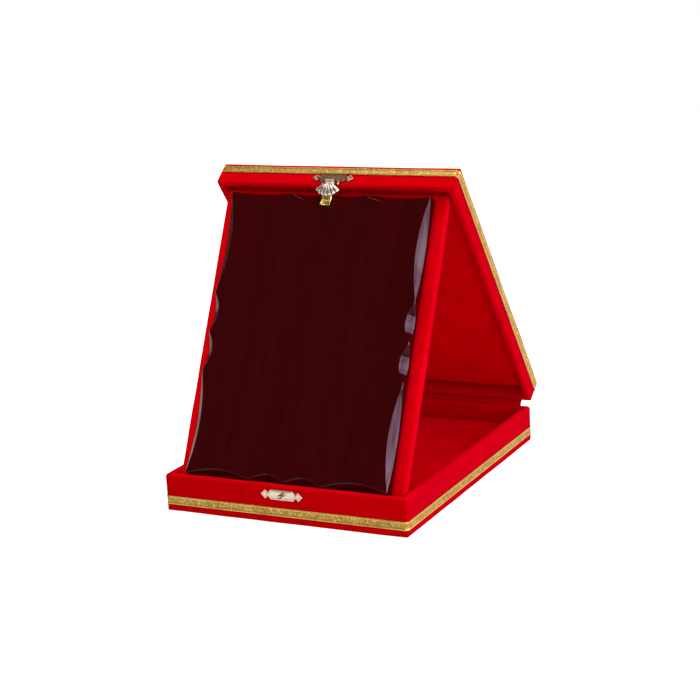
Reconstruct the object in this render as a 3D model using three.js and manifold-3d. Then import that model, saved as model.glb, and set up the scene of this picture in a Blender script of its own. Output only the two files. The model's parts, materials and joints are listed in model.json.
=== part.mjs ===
// A velvet presentation box that stands open as its own easel. The base is a shallow tray. The lid
// leans forward from a cloth hinge at the rear and rests on the top of a hinged panel, and the panel
// carries a lacquered wooden plaque with scooped edges. Gilt braid runs round both halves, and a small
// shell hasp on the lid meets a catch plate on the base.
//
// Millimetres, +Z up, +Y towards the rear hinge. The origin is the centre of the base's underside.
import * as THREE from "three";
import { mergeVertices } from "three/addons/utils/BufferGeometryUtils.js";
import Module from "manifold-3d";

const wasm = await Module();
wasm.setup();

// Driving dimensions of the box.
const BOX_W = 179;
const BOX_D = 227;
const BASE_H = 26.4;
const LID_H = 18.3;
const GLUE = 0.3; // glue line between a board and its velvet, and between any two touching pieces
const VELVET = 0.6;
const BOARD = 3.2; // thickness of the wall boards
const PLATE_BOARD = 3; // thickness of the bottom and top boards
const WALL = 2 * (VELVET + GLUE) + BOARD;
const CORNER_R = 2.3; // upright corners of the covered box
const INSIDE_R = 0.2; // upright corners inside it
const RIM_R = 2.2; // rounding of the velvet over the rims
const CORE_IN = VELVET + GLUE; // from the covered outside to the wall board
const FLOOR_Z = 14.9; // top of the padded floor
const LINING_DEPTH = 5.3; // from the lid's rim to its padded lining
const SHEET = 0.6; // the sheet glued under the base

// The lid's cloth hinge: its axis runs along X behind the rear wall, near the rims.
const HINGE_BACK = 3;
const HINGE_Z = 26;
const LID_RIM_UP = 0.7; // from the hinge axis up to the closed lid's rim
const LID_OPEN = 53.25; // degrees, how far the lid stands open

// The panel, hinged on the floor behind the front wall.
const PANEL_W = 167;
const PANEL_L = 207.7;
const PANEL_T = 6.5;
const PANEL_IN = 13.6; // from the front face to the panel's hinge axis
const PANEL_UP = 1; // from the floor to the panel's hinge axis
const PANEL_LEAN = 63.74; // degrees above level

// The plaque and its fixing pads.
const PLAQUE_W = 150;
const PLAQUE_L = 198;
const PLAQUE_T = 8.3;
const PLAQUE_FROM = 5.3; // from the panel's hinged end to the plaque
const PAD_X = 48; // tape pads, from the plaque's middle
const PAD_Y = 70;
const PAD_W = 34;
const PAD_L = 22;
const PAD_T = 0.5;
const PAD_GAP = 0.2;
const SCOOP_DEPTH = 3.5; // of each scoop, square to its 45 degree cut
const LONG_SCOOPS = [72, 27, 27, 72];
const SHORT_SCOOPS = [48, 27, 27, 48];

// Gilt braid.
const BRAID_T = 0.7;
const BRAID_OUT = 0.2;
const BASE_BRAID = [5, 11]; // above the base's underside
const LID_BRAID = [10.2, 15.9]; // above the lid's rim

// Cloth hinge leaves.
const REAR_LEAF_IN = 8; // from the side of the box to the end of the rear cloth
const REAR_LEAF_BASE = [12.2, 24];
const REAR_LEAF_LID = [2.4, 8.4]; // above the lid's rim
const PANEL_LEAF_X = 75;
const PANEL_LEAF_Z = [FLOOR_Z + 0.2, FLOOR_Z + 0.65];
const PANEL_LEAF_CLEAR = 1.8; // from the floor leaf to the panel's hinge axis
const PANEL_LEAF_END = [[-0.8, -GLUE], [1.3, 6.1]];

// Hasp and catch.
const METAL = 0.7;
const PLATE_REACH = 15.5; // half the length of the hasp plate and the catch plate
const METAL_OUT = 0.2; // a plate's stand-off from the velvet
const PLATE_UP = 6; // centre of the hasp plate above the lid's rim
const CATCH_DOWN = 6.4; // centre of the catch plate below the base's rim
const PIN_R = 0.55;
const PIN_BORE_R = 0.8;
const KNUCKLE_R = 1.2;
const PIN_OUT = 2.7; // pin centre in front of the lid's front face
const PIN_UP = 1.7; // pin centre above the lid's rim
const PIN_L = 13;
const NAIL_X = 6.6;
const NAIL_R = 0.45;
const NAIL_HEAD_R = 1;
const NAIL_HOLE_R = 0.75;
const STUD_HOLE_R = 2;
const STUD = [
  [0, 0], [0.9, 0], [0.9, 1.5], [1.5, 1.9], [1.5, 2.3], [0.9, 2.8], [0, 3],
];
const HASP_HANG = 16; // degrees that the hasp hangs back towards the plaque
const SHELL_RIBS = 7;
const SHELL_Z = -1; // the point that the shell's ribs fan out from, below the pin
const SHELL_REACH = 9.6;
const SHELL_SCALLOP = 1.9;
const SHELL_SPREAD = 114;
const SHELL_NECK = 3.2;
const SHELL_FRONT = -2.1; // front of the shell's dome, measured from the pin
const SHELL_BACK = 0.5;
const SHELL_SKIN = 0.4;
const KNUCKLE_L = 6.4;
const LID_KNUCKLE = [3.5, 6];
const TONGUE_X = 3.6;
const TONGUE_Y = [0.8, 1.5];
const TONGUE_Z = [-18, -5.8];

const rad = THREE.MathUtils.degToRad;
const ROUND = 16; // sides of a small round piece

const material = (color, roughness, metalness) =>
  new THREE.MeshStandardMaterial({ color, roughness, metalness });
const velvet = material(0xd0052a, 0.95, 0);
const lining = material(0xb00418, 0.95, 0);
const fibreboard = material(0xa9835a, 0.85, 0);
const foam = material(0xb00418, 0.95, 0);
const sheet = material(0x7d0a18, 0.9, 0);
const braid = material(0xb8893f, 0.45, 0.6);
const lacquer = material(0x3a0208, 0.2, 0);
const tape = material(0xe6e2d6, 0.8, 0);
const oldGilt = material(0xcdb489, 0.35, 0.9);
const brass = material(0xc8a93a, 0.3, 0.9);

// Solids and booleans.
function solidOf(geometry) {
  const bare = geometry.index ? geometry.toNonIndexed() : geometry.clone();
  bare.deleteAttribute("normal");
  bare.deleteAttribute("uv");
  const merged = mergeVertices(bare, 1e-4);
  return new wasm.Manifold(
    new wasm.Mesh({
      numProp: 3,
      vertProperties: merged.attributes.position.array,
      triVerts: new Uint32Array(merged.index.array),
    }),
  );
}

function geometryOf(solid) {
  const mesh = solid.getMesh();
  const geometry = new THREE.BufferGeometry();
  geometry.setAttribute("position", new THREE.BufferAttribute(mesh.vertProperties, 3));
  geometry.setIndex(new THREE.BufferAttribute(mesh.triVerts, 1));
  geometry.computeVertexNormals();
  return geometry;
}

// A block between two corners.
function block([x0, x1], [y0, y1], [z0, z1]) {
  const box = new THREE.BoxGeometry(x1 - x0, y1 - y0, z1 - z0);
  return box.translate((x0 + x1) / 2, (y0 + y1) / 2, (z0 + z1) / 2);
}

const blockSolid = (x, y, z) => solidOf(block(x, y, z));

// A rod along X or Y, centred on a point.
function rod(radius, length, axis, [x, y, z]) {
  const cylinder = new THREE.CylinderGeometry(radius, radius, length, ROUND);
  if (axis === "x") cylinder.rotateZ(Math.PI / 2);
  return cylinder.translate(x, y, z);
}

// A rectangle with round corners, centred on the origin.
function roundedRectangle(Kind, width, depth, radius) {
  const [w, d, r] = [width / 2, depth / 2, radius];
  const outline = new Kind();
  outline.moveTo(w, r - d);
  outline.absarc(w - r, d - r, r, 0, Math.PI / 2);
  outline.absarc(r - w, d - r, r, Math.PI / 2, Math.PI);
  outline.absarc(r - w, r - d, r, Math.PI, 1.5 * Math.PI);
  outline.absarc(w - r, r - d, r, 1.5 * Math.PI, 2 * Math.PI);
  return outline;
}

// Four walls in one piece, inset from the box's outside, with their top edges rounded.
function wallRing(inset, thickness, bottom, top, rim) {
  const [w, d] = [BOX_W - 2 * inset, BOX_D - 2 * inset];
  const outline = roundedRectangle(THREE.Shape, w, d, CORNER_R - inset);
  const inside = [w - 2 * thickness, d - 2 * thickness];
  outline.holes.push(roundedRectangle(THREE.Path, ...inside, INSIDE_R));
  const ring = new THREE.ExtrudeGeometry(outline, {
    depth: top - bottom,
    bevelThickness: rim,
    bevelSize: rim,
    bevelOffset: -rim,
    bevelSegments: 4,
    curveSegments: 3,
  }).translate(0, 0, bottom - rim);
  return solidOf(ring).subtract(
    blockSolid([-BOX_W, BOX_W], [-BOX_D, BOX_D], [bottom - 4 * rim - 1, bottom]),
  );
}

const halfW = BOX_W / 2;
const halfD = BOX_D / 2;
const rearLeafX = [REAR_LEAF_IN - halfW, halfW - REAR_LEAF_IN];
const panelLeafX = [-PANEL_LEAF_X, PANEL_LEAF_X];
const inner = (gap) => [
  [WALL + gap - halfW, halfW - WALL - gap],
  [WALL + gap - halfD, halfD - WALL - gap],
];
const acrossBox = (inset) => [
  [inset - halfW, halfW - inset],
  [inset - halfD, halfD - inset],
];

// The four wall boards, cut out of one ring with a glue line at each corner joint.
function wallBoards(bottom, top) {
  const ring = wallRing(CORE_IN, BOARD, bottom, top, RIM_R - CORE_IN);
  const joint = halfD - CORE_IN - BOARD;
  const tall = [bottom - 1, top + 1];
  const wide = [-BOX_W, BOX_W];
  const between = [GLUE - joint, joint - GLUE];
  return {
    front_wall: ring.intersect(blockSolid(wide, [-BOX_D, -joint], tall)),
    rear_wall: ring.intersect(blockSolid(wide, [joint, BOX_D], tall)),
    left_wall: ring.intersect(blockSolid([-BOX_W, 0], between, tall)),
    right_wall: ring.intersect(blockSolid([0, BOX_W], between, tall)),
  };
}

// The velvet over the walls: outside, rim and inside, open where the boards lie.
function velvetOver(bottom, top, boardTop) {
  const room = wallRing(VELVET, BOARD + 2 * GLUE, boardTop - GLUE, top - VELVET, RIM_R - VELVET);
  return wallRing(0, WALL, bottom, top, RIM_R)
    .subtract(room)
    .subtract(blockSolid(...acrossBox(VELVET), [bottom - 1, boardTop]));
}

// A braid ring that stands just off the velvet.
function braidRing([from, to]) {
  const outer = (out) => [BOX_W + 2 * out, BOX_D + 2 * out, CORNER_R + out];
  const outline = roundedRectangle(THREE.Shape, ...outer(BRAID_OUT + BRAID_T));
  outline.holes.push(roundedRectangle(THREE.Path, ...outer(BRAID_OUT)));
  const ring = new THREE.ExtrudeGeometry(outline, {
    depth: to - from,
    bevelEnabled: false,
    curveSegments: 4,
  });
  return ring.translate(0, 0, from);
}

// The outline that the hasp plate and the catch plate share, in X and Z: a long plate with cut
// corners, and an arrow head beyond a neck at each end.
function plateOutline() {
  const upper = [[8.2, 3.4], [10.4, 1.1], [12.3, 3.2]];
  const lower = upper.map(([x, z]) => [x, -z]).reverse();
  const right = [...upper, [PLATE_REACH, 0], ...lower];
  const left = right.map(([x, z]) => [-x, -z]);
  const outline = new THREE.Shape([...right, ...left].map(([x, z]) => new THREE.Vector2(x, z)));
  for (const side of [-1, 1]) {
    const hole = new THREE.Path();
    hole.absarc(side * NAIL_X, 0, NAIL_HOLE_R, 0, 2 * Math.PI);
    outline.holes.push(hole);
  }
  return outline;
}

// An outline in X and Z given thickness towards the front, with its back at y = back.
function standing(outline, thickness, back, z) {
  const upright = new THREE.ExtrudeGeometry(outline, {
    depth: thickness,
    bevelEnabled: false,
    curveSegments: 8,
  });
  return upright.rotateX(Math.PI / 2).translate(0, back, z);
}

// A brass nail with a domed head, its shank in the plate's hole.
function nail(x, front, z) {
  const half = METAL / 2;
  const profile = [
    [0, -half], [NAIL_R, -half], [NAIL_R, half + 0.1], [NAIL_HEAD_R, half + 0.1],
    [0.75, half + 0.45], [0.4, half + 0.6], [0, half + 0.65],
  ];
  const turned = new THREE.LatheGeometry(
    profile.map(([r, h]) => new THREE.Vector2(r, h)),
    12,
  );
  return turned.rotateX(Math.PI).translate(x, front - half, z);
}

const root = new THREE.Group();

function add(group, name, shape, finish) {
  const geometry = shape.isBufferGeometry ? shape : geometryOf(shape);
  const mesh = new THREE.Mesh(geometry, finish);
  mesh.name = name;
  group.add(mesh);
}

// Base: the tray.
function makeBase() {
  const base = new THREE.Group();
  const boardTop = CORE_IN + PLATE_BOARD;
  const boards = wallBoards(boardTop + GLUE, BASE_H - CORE_IN);
  for (const [name, shape] of Object.entries(boards)) add(base, "base_" + name, shape, fibreboard);
  add(base, "base_bottom_board", block(...acrossBox(CORE_IN), [CORE_IN, boardTop]), fibreboard);
  add(base, "base_underside_sheet", block(...acrossBox(2.5), [0, SHEET]), sheet);
  add(base, "base_velvet_cover", velvetOver(GLUE, BASE_H, boardTop + GLUE), velvet);
  add(base, "base_floor_pad", block(...inner(GLUE), [boardTop + GLUE, FLOOR_Z]), foam);
  add(base, "base_braid", braidRing(BASE_BRAID), braid);

  const face = -halfD - METAL_OUT;
  const catchZ = BASE_H - CATCH_DOWN;
  const plate = solidOf(standing(plateOutline(), METAL, face, catchZ));
  add(base, "catch_plate", plate, oldGilt);
  add(base, "catch_nail_left", nail(-NAIL_X, face, catchZ), brass);
  add(base, "catch_nail_right", nail(NAIL_X, face, catchZ), brass);
  const turned = new THREE.LatheGeometry(STUD.map(([r, h]) => new THREE.Vector2(r, h)), ROUND);
  turned.rotateX(Math.PI).translate(0, face - METAL - GLUE, catchZ);
  add(base, "catch_stud", turned, brass);

  const back = halfD + GLUE;
  const strip = [rearLeafX, [back, back + VELVET], REAR_LEAF_BASE];
  add(base, "rear_hinge_cloth_base", block(...strip), velvet);
  const foot = [WALL + GLUE - halfD, PANEL_IN - PANEL_LEAF_CLEAR - halfD];
  add(base, "panel_hinge_cloth_floor", block(panelLeafX, foot, PANEL_LEAF_Z), lining);
  return base;
}

// Hasp: the shell and its tongue, built about the pin, hanging along -Z.
function makeHasp() {
  const hasp = new THREE.Group();
  hasp.position.set(0, -halfD - PIN_OUT, PIN_UP);
  hasp.rotation.x = rad(HASP_HANG);
  const spread = rad(SHELL_SPREAD);
  const onFan = (reach, angle) => [reach * Math.cos(angle), SHELL_Z + reach * Math.sin(angle)];
  const outline = new THREE.Shape();
  outline.moveTo(-SHELL_NECK, 0);
  outline.lineTo(-SHELL_NECK, SHELL_Z);
  for (let rib = 0; rib <= SHELL_RIBS; rib++) {
    const angle = -Math.PI / 2 - spread / 2 + (rib * spread) / SHELL_RIBS;
    const valley = onFan(SHELL_REACH, angle);
    const crest = onFan(SHELL_REACH + SHELL_SCALLOP, angle - spread / SHELL_RIBS / 2);
    if (rib === 0) outline.lineTo(...valley);
    else outline.quadraticCurveTo(...crest, ...valley);
  }
  outline.lineTo(SHELL_NECK, SHELL_Z);
  outline.lineTo(SHELL_NECK, 0);
  outline.closePath();
  const catchHole = PIN_UP + CATCH_DOWN + LID_RIM_UP + HINGE_Z - BASE_H;
  const bore = solidOf(rod(PIN_BORE_R, PIN_L, "x", [0, 0, 0]));
  const studRoom = (from, to) =>
    solidOf(rod(STUD_HOLE_R, to - from, "y", [0, (from + to) / 2, -catchHole]));
  const leaf = new THREE.ExtrudeGeometry(outline, {
    depth: SHELL_BACK - SHELL_FRONT,
    bevelEnabled: false,
    curveSegments: 4,
  });
  leaf.rotateX(Math.PI / 2).translate(0, SHELL_BACK, 0);
  const knuckle = solidOf(rod(KNUCKLE_R, KNUCKLE_L, "x", [0, 0, 0]));
  const pocket = studRoom(SHELL_FRONT + SHELL_SKIN, SHELL_BACK + 1);
  const shell = solidOf(leaf).add(knuckle).subtract(bore).subtract(pocket);
  add(hasp, "hasp_shell", shell, oldGilt);
  const flat = blockSolid([-TONGUE_X, TONGUE_X], TONGUE_Y, TONGUE_Z);
  add(hasp, "hasp_tongue", flat.subtract(studRoom(TONGUE_Y[0] - 1, TONGUE_Y[1] + 1)), brass);
  return hasp;
}

// Lid: built closed and level, with z = 0 at its rim and the lid above it, then hung on its hinge.
function makeLid() {
  const lid = new THREE.Group();
  lid.position.set(0, halfD + HINGE_BACK, HINGE_Z);
  lid.rotation.x = -rad(LID_OPEN);
  const body = new THREE.Group();
  body.position.set(0, -halfD - HINGE_BACK, LID_RIM_UP);
  lid.add(body);

  const boardTop = CORE_IN + PLATE_BOARD;
  const turnOver = (solid) => geometryOf(solid).rotateX(Math.PI).translate(0, 0, LID_H);
  const boards = wallBoards(boardTop + GLUE, LID_H - CORE_IN);
  const turned = { front_wall: "rear_wall", rear_wall: "front_wall" };
  for (const [name, shape] of Object.entries(boards))
    add(body, "lid_" + (turned[name] ?? name), turnOver(shape), fibreboard);
  const topBoard = [LID_H - boardTop, LID_H - CORE_IN];
  add(body, "lid_top_board", block(...acrossBox(CORE_IN), topBoard), fibreboard);
  const skin = velvetOver(0, LID_H, boardTop + GLUE).add(
    blockSolid(...acrossBox(VELVET / 2), [0, VELVET]),
  );
  add(body, "lid_velvet_cover", turnOver(skin), velvet);
  const padTop = LID_H - boardTop - GLUE;
  add(body, "lid_lining_pad", block(...inner(GLUE), [LINING_DEPTH, padTop]), lining);
  add(body, "lid_braid", braidRing(LID_BRAID), braid);

  const face = -halfD - METAL_OUT;
  const knuckleAt = [0, -halfD - PIN_OUT, PIN_UP];
  const bore = solidOf(rod(PIN_BORE_R, PIN_L + 4, "x", knuckleAt));
  let plate = solidOf(standing(plateOutline(), METAL, face, PLATE_UP));
  for (const side of [-1, 1]) {
    const [near, far] = LID_KNUCKLE;
    const at = [(side * (near + far)) / 2, knuckleAt[1], PIN_UP];
    const across = [Math.min(side * near, side * far), Math.max(side * near, side * far)];
    const arm = blockSolid(across, [face - 2, face - METAL / 2], [PIN_UP + 0.7, PIN_UP + 1.5]);
    plate = plate.add(solidOf(rod(KNUCKLE_R, far - near, "x", at))).add(arm);
  }
  add(body, "hasp_plate", plate.subtract(bore), oldGilt);
  add(body, "hasp_pin", rod(PIN_R, PIN_L, "x", knuckleAt), brass);
  add(body, "hasp_nail_left", nail(-NAIL_X, face, PLATE_UP), brass);
  add(body, "hasp_nail_right", nail(NAIL_X, face, PLATE_UP), brass);
  body.add(makeHasp());

  const back = halfD + GLUE;
  const strip = [rearLeafX, [back, back + VELVET], REAR_LEAF_LID];
  add(body, "rear_hinge_cloth_lid", block(...strip), velvet);
  return lid;
}

// One side of scoops: cutters along X, centred, for an edge at y = 0 with the plaque at y > 0 and its
// face at z = 0. Each is a circular segment drawn along a 45 degree ruling.
function scoopCutters(chords) {
  const total = chords.reduce((sum, chord) => sum + chord, 0);
  const cutters = [];
  let start = -total / 2;
  for (const chord of chords) {
    const [half, h] = [chord / 2, SCOOP_DEPTH];
    const radius = (half * half + h * h) / (2 * h);
    const sweep = Math.asin(half / radius);
    const outline = new THREE.Shape();
    outline.moveTo(-half, 0);
    outline.absarc(0, radius - h, radius, 1.5 * Math.PI - sweep, 1.5 * Math.PI + sweep);
    outline.lineTo(half, 6);
    outline.lineTo(-half, 6);
    outline.closePath();
    const cutter = new THREE.ExtrudeGeometry(outline, {
      depth: 30,
      bevelEnabled: false,
      curveSegments: Math.round(chord / 4),
    });
    cutter.translate(start + half, 0, -15).rotateX(rad(135));
    cutters.push(cutter);
    start += chord;
  }
  return cutters;
}

function makePlaque() {
  let plaque = blockSolid([-PLAQUE_W / 2, PLAQUE_W / 2], [-PLAQUE_L / 2, PLAQUE_L / 2], [-PLAQUE_T, 0]);
  for (let side = 0; side < 4; side++) {
    const along = side % 2 ? LONG_SCOOPS : SHORT_SCOOPS;
    const reach = side % 2 ? PLAQUE_W / 2 : PLAQUE_L / 2;
    for (const cutter of scoopCutters(along)) {
      cutter.translate(0, -reach, 0).rotateZ((side * Math.PI) / 2);
      plaque = plaque.subtract(solidOf(cutter));
    }
  }
  return plaque;
}

// Panel: built flat, from its hinge axis towards +Y, then leaned up.
function makePanel() {
  const panel = new THREE.Group();
  panel.position.set(0, PANEL_IN - halfD, FLOOR_Z + PANEL_UP);
  panel.rotation.x = rad(PANEL_LEAN);
  const half = PANEL_W / 2;
  const room = blockSolid(
    [VELVET - half, half - VELVET],
    [-1, PANEL_L - VELVET],
    [VELVET, PANEL_T - VELVET],
  );
  const cover = blockSolid([-half, half], [0, PANEL_L], [0, PANEL_T]).subtract(room);
  add(panel, "panel_velvet_cover", cover, velvet);
  const board = [
    [CORE_IN - half, half - CORE_IN],
    [GLUE, PANEL_L - CORE_IN],
    [CORE_IN, PANEL_T - CORE_IN],
  ];
  add(panel, "panel_board", block(...board), fibreboard);
  add(panel, "panel_hinge_cloth_end", block(panelLeafX, ...PANEL_LEAF_END), lining);

  const middle = PLAQUE_FROM + PLAQUE_L / 2;
  const padZ = [PANEL_T + PAD_GAP, PANEL_T + PAD_GAP + PAD_T];
  for (const [across, sx] of [["left", -1], ["right", 1]])
    for (const [along, sy] of [["lower", -1], ["upper", 1]]) {
      const [x, y] = [sx * PAD_X, middle + sy * PAD_Y];
      const pad = block([x - PAD_W / 2, x + PAD_W / 2], [y - PAD_L / 2, y + PAD_L / 2], padZ);
      add(panel, "plaque_tape_" + along + "_" + across, pad, tape);
    }
  const plaqueTop = padZ[1] + PAD_GAP + PLAQUE_T;
  const plaque = geometryOf(makePlaque()).translate(0, middle, plaqueTop);
  add(panel, "plaque", plaque, lacquer);
  return panel;
}

root.add(makeBase());
root.add(makeLid());
root.add(makePanel());

export default root;
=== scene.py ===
"""A red velvet presentation box standing open as its own easel, with a scooped cherry plaque on its panel.

The base is a shallow velvet tray. The lid leans forward on the top of a hinged panel. A shell hasp
hangs from the lid's front wall, and its catch plate is on the base's front wall. Metres, +Z up, -Y is
the front.
"""

import json
import math

import bmesh
import bpy
from mathutils import Matrix, Vector, noise
from mathutils.geometry import interpolate_bezier


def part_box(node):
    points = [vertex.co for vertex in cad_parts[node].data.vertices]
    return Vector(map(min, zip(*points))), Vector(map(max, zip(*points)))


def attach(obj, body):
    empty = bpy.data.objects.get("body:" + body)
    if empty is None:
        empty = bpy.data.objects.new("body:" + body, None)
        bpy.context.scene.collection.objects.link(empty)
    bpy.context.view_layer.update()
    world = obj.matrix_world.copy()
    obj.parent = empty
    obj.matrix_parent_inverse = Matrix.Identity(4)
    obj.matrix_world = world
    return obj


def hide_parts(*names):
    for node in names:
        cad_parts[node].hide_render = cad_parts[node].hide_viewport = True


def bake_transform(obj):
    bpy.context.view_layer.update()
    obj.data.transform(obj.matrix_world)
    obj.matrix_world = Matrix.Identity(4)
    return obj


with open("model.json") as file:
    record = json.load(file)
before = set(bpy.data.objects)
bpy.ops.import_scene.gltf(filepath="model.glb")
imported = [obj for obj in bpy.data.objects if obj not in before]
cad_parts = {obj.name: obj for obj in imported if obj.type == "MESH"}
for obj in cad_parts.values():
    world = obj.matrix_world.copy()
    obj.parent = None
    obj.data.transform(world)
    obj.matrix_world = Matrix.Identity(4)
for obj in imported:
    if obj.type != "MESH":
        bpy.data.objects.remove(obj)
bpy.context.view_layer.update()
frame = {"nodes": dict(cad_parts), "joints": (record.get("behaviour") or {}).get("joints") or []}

MM = 0.001
NEAR = 1e-6  # how close two places count as one
FINE_MERGE = 0.002 * MM
FULL_TURN = 2 * math.pi

# Sizes shared by the box's halves.
BOX_W = 179 * MM
BOX_D = 227 * MM
HALF_W = BOX_W / 2
HALF_D = BOX_D / 2
WALL = 5 * MM
VELVET = 0.6 * MM
RIM_R = 2.2 * MM
FOOT_R = 0.5 * MM
BASE_H = 26.4 * MM
LID_H = 18.3 * MM
TURN_UNDER = 9 * MM  # the velvet glued under the base
PAD_GAP = 0.3 * MM

# How the lid and the panel stand at rest.
LID_OPEN = math.radians(53.25)
PANEL_LEAN = math.radians(63.74)
LID_RIM_UP = 0.7 * MM
PIN_OUT = 2.7 * MM
PIN_UP = 1.7 * MM
HASP_HANG = math.radians(16)  # back towards the plaque

joint_at = {joint["name"]: Vector(joint["pos_m"]) for joint in frame["joints"]}
LID = (
    Matrix.Translation(joint_at["lid_hinge"])
    @ Matrix.Rotation(-LID_OPEN, 4, "X")
    @ Matrix.Translation((0, -joint_at["lid_hinge"].y, LID_RIM_UP))
)
PANEL = Matrix.Translation(joint_at["panel_hinge"]) @ Matrix.Rotation(PANEL_LEAN, 4, "X")
HASP = LID @ Matrix.Translation((0, -HALF_D - PIN_OUT, PIN_UP)) @ Matrix.Rotation(HASP_HANG, 4, "X")
BASE = Matrix.Identity(4)


# ---------------- shader groups


def wired(tree, node_type, inputs=None, **settings):
    """A node in a tree, with its settings, values and incoming links."""
    node = tree.nodes.new(node_type)
    for name, value in settings.items():
        setattr(node, name, value)
    for name, value in (inputs or {}).items():
        if isinstance(value, bpy.types.NodeSocket):
            tree.links.new(value, node.inputs[name])
        else:
            node.inputs[name].default_value = value
    return node


def maths(tree, operation, first, second):
    return wired(tree, "ShaderNodeMath", {0: first, 1: second}, operation=operation).outputs[0]


def added(tree, first, second):
    return maths(tree, "ADD", first, second)


def times(tree, first, second):
    return maths(tree, "MULTIPLY", first, second)


def own_place(tree):
    return tree.nodes.new("ShaderNodeTexCoord").outputs["Object"]


def stretched(tree, place, scale):
    return wired(tree, "ShaderNodeMapping", {"Vector": place, "Scale": scale}).outputs[0]


def cells_of(tree, place, scale):
    return wired(tree, "ShaderNodeTexVoronoi", {"Vector": place, "Scale": scale}).outputs["Distance"]


def noise_of(tree, place, scale, detail=4.0, roughness=0.5, distortion=0.0):
    settings = {"Vector": place, "Scale": scale, "Detail": detail}
    settings.update({"Roughness": roughness, "Distortion": distortion})
    return wired(tree, "ShaderNodeTexNoise", settings).outputs["Fac"]


def spread(tree, value, low, high, to_low=0.0, to_high=1.0):
    values = {"Value": value, "From Min": low, "From Max": high, "To Min": to_low, "To Max": to_high}
    return wired(tree, "ShaderNodeMapRange", values).outputs[0]


def swing(tree, cloud, to_low, to_high):
    """Noise, which keeps mostly between 0.3 and 0.7, stretched to a range."""
    return spread(tree, cloud, 0.3, 0.7, to_low, to_high)


def mixed(tree, share, first, second):
    node = wired(tree, "ShaderNodeMix", data_type="RGBA")
    for index, value in ((0, share), (6, first), (7, second)):
        if isinstance(value, bpy.types.NodeSocket):
            tree.links.new(value, node.inputs[index])
        else:
            node.inputs[index].default_value = value
    return node.outputs[2]


def bumped(tree, height, strength, distance, under=None):
    inputs = {"Height": height, "Strength": strength, "Distance": distance}
    if under is not None:
        inputs["Normal"] = under
    return wired(tree, "ShaderNodeBump", inputs).outputs[0]


def begun_group(name, inputs):
    """A node group with its inputs and the three results that every finish has."""
    group = bpy.data.node_groups.new(name, "ShaderNodeTree")
    for label, value in inputs.items():
        kind = "NodeSocketColor" if isinstance(value, tuple) else "NodeSocketFloat"
        made = group.interface.new_socket(name=label, in_out="INPUT", socket_type=kind)
        made.default_value = value
    for label, kind in (("Colour", "Color"), ("Roughness", "Float"), ("Normal", "Vector")):
        group.interface.new_socket(name=label, in_out="OUTPUT", socket_type="NodeSocket" + kind)
    return group, group.nodes.new("NodeGroupInput").outputs


def ended_group(group, colour, roughness, normal):
    out = group.nodes.new("NodeGroupOutput").inputs
    group.links.new(colour, out["Colour"])
    group.links.new(roughness, out["Roughness"])
    group.links.new(normal, out["Normal"])
    return group


def pile_group():
    """Velvet: short tufts, brushed patches where the nap lies another way, and a little lint."""
    inputs = {"Colour": (0.7, 0.0, 0.02, 1), "Deep": (0.3, 0.0, 0.0, 1), "Brushed": 0.5, "Tufts": 0.5}
    group, given = begun_group("velvet_pile", inputs)
    place = own_place(group)
    cloudy = noise_of(group, place, 22, 3, 0.55, 0.6)
    brushed = noise_of(group, stretched(group, place, (1, 0.25, 1)), 120, 4, 0.6, 0.4)
    tuft = cells_of(group, place, 2300)
    fine = noise_of(group, place, 900, 3, 0.6)
    wide_nap = swing(group, cloudy, -0.5, 0.5)
    narrow_nap = swing(group, brushed, -0.3, 0.3)
    shade = times(group, added(group, wide_nap, narrow_nap), given["Brushed"])
    grain = times(group, swing(group, fine, -0.5, 0.5), given["Tufts"])
    share = added(group, added(group, shade, 0.72), times(group, grain, 0.5))
    colour = mixed(group, share, given["Deep"], given["Colour"])
    rough = added(group, times(group, shade, -0.12), 0.86)
    tufts = bumped(group, added(group, tuft, fine), given["Tufts"], 0.0003)
    return ended_group(group, colour, rough, bumped(group, cloudy, 0.25, 0.0006, tufts))


def wear_group():
    """Handled metal: tarnish in patches, rubbed edges, fine scratches and dulled hollows."""
    inputs = {"Bright": (0.8, 0.7, 0.5, 1), "Tarnish": (0.3, 0.22, 0.12, 1)}
    inputs.update({"Amount": 0.5, "Hollows": 0.8, "Smooth": 0.2})
    group, given = begun_group("handled_metal", inputs)
    place = own_place(group)
    patches = noise_of(group, place, 420, 5, 0.6, 0.3)
    scratches = noise_of(group, stretched(group, place, (0.3, 1, 1)), 5200, 2, 0.5)
    pits = noise_of(group, place, 2600, 3, 0.6)
    hollow = group.nodes.new("ShaderNodeNewGeometry").outputs["Pointiness"]
    low = spread(group, hollow, 0.5, 0.455)
    rubbed = spread(group, hollow, 0.52, 0.56, 1.0, 0.0)
    patchy = times(group, spread(group, patches, 0.4, 0.75, 0.4, 1.0), rubbed)
    dull = times(group, patchy, given["Amount"])
    sunk = times(group, low, given["Hollows"])
    share = maths(group, "MINIMUM", added(group, dull, sunk), 1.0)
    colour = mixed(group, share, given["Bright"], given["Tarnish"])
    rough = added(group, given["Smooth"], times(group, share, 0.3))
    rough = added(group, rough, swing(group, scratches, -0.04, 0.08))
    relief = added(group, pits, times(group, scratches, 0.5))
    return ended_group(group, colour, rough, bumped(group, relief, 0.12, 0.0001))


PILE = pile_group()
WEAR = wear_group()


# ---------------- materials


def blank(name, **sockets):
    """A material with its Principled shader and the values that are the same all over."""
    material = bpy.data.materials.new(name)
    material.use_nodes = True
    tree = material.node_tree
    shader = tree.nodes["Principled BSDF"]
    for socket, value in sockets.items():
        shader.inputs[socket.replace("_", " ")].default_value = value
    return material, tree, shader


def fed(tree, shader, colour, roughness, normal):
    tree.links.new(colour, shader.inputs["Base Color"])
    tree.links.new(roughness, shader.inputs["Roughness"])
    tree.links.new(normal, shader.inputs["Normal"])


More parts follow.
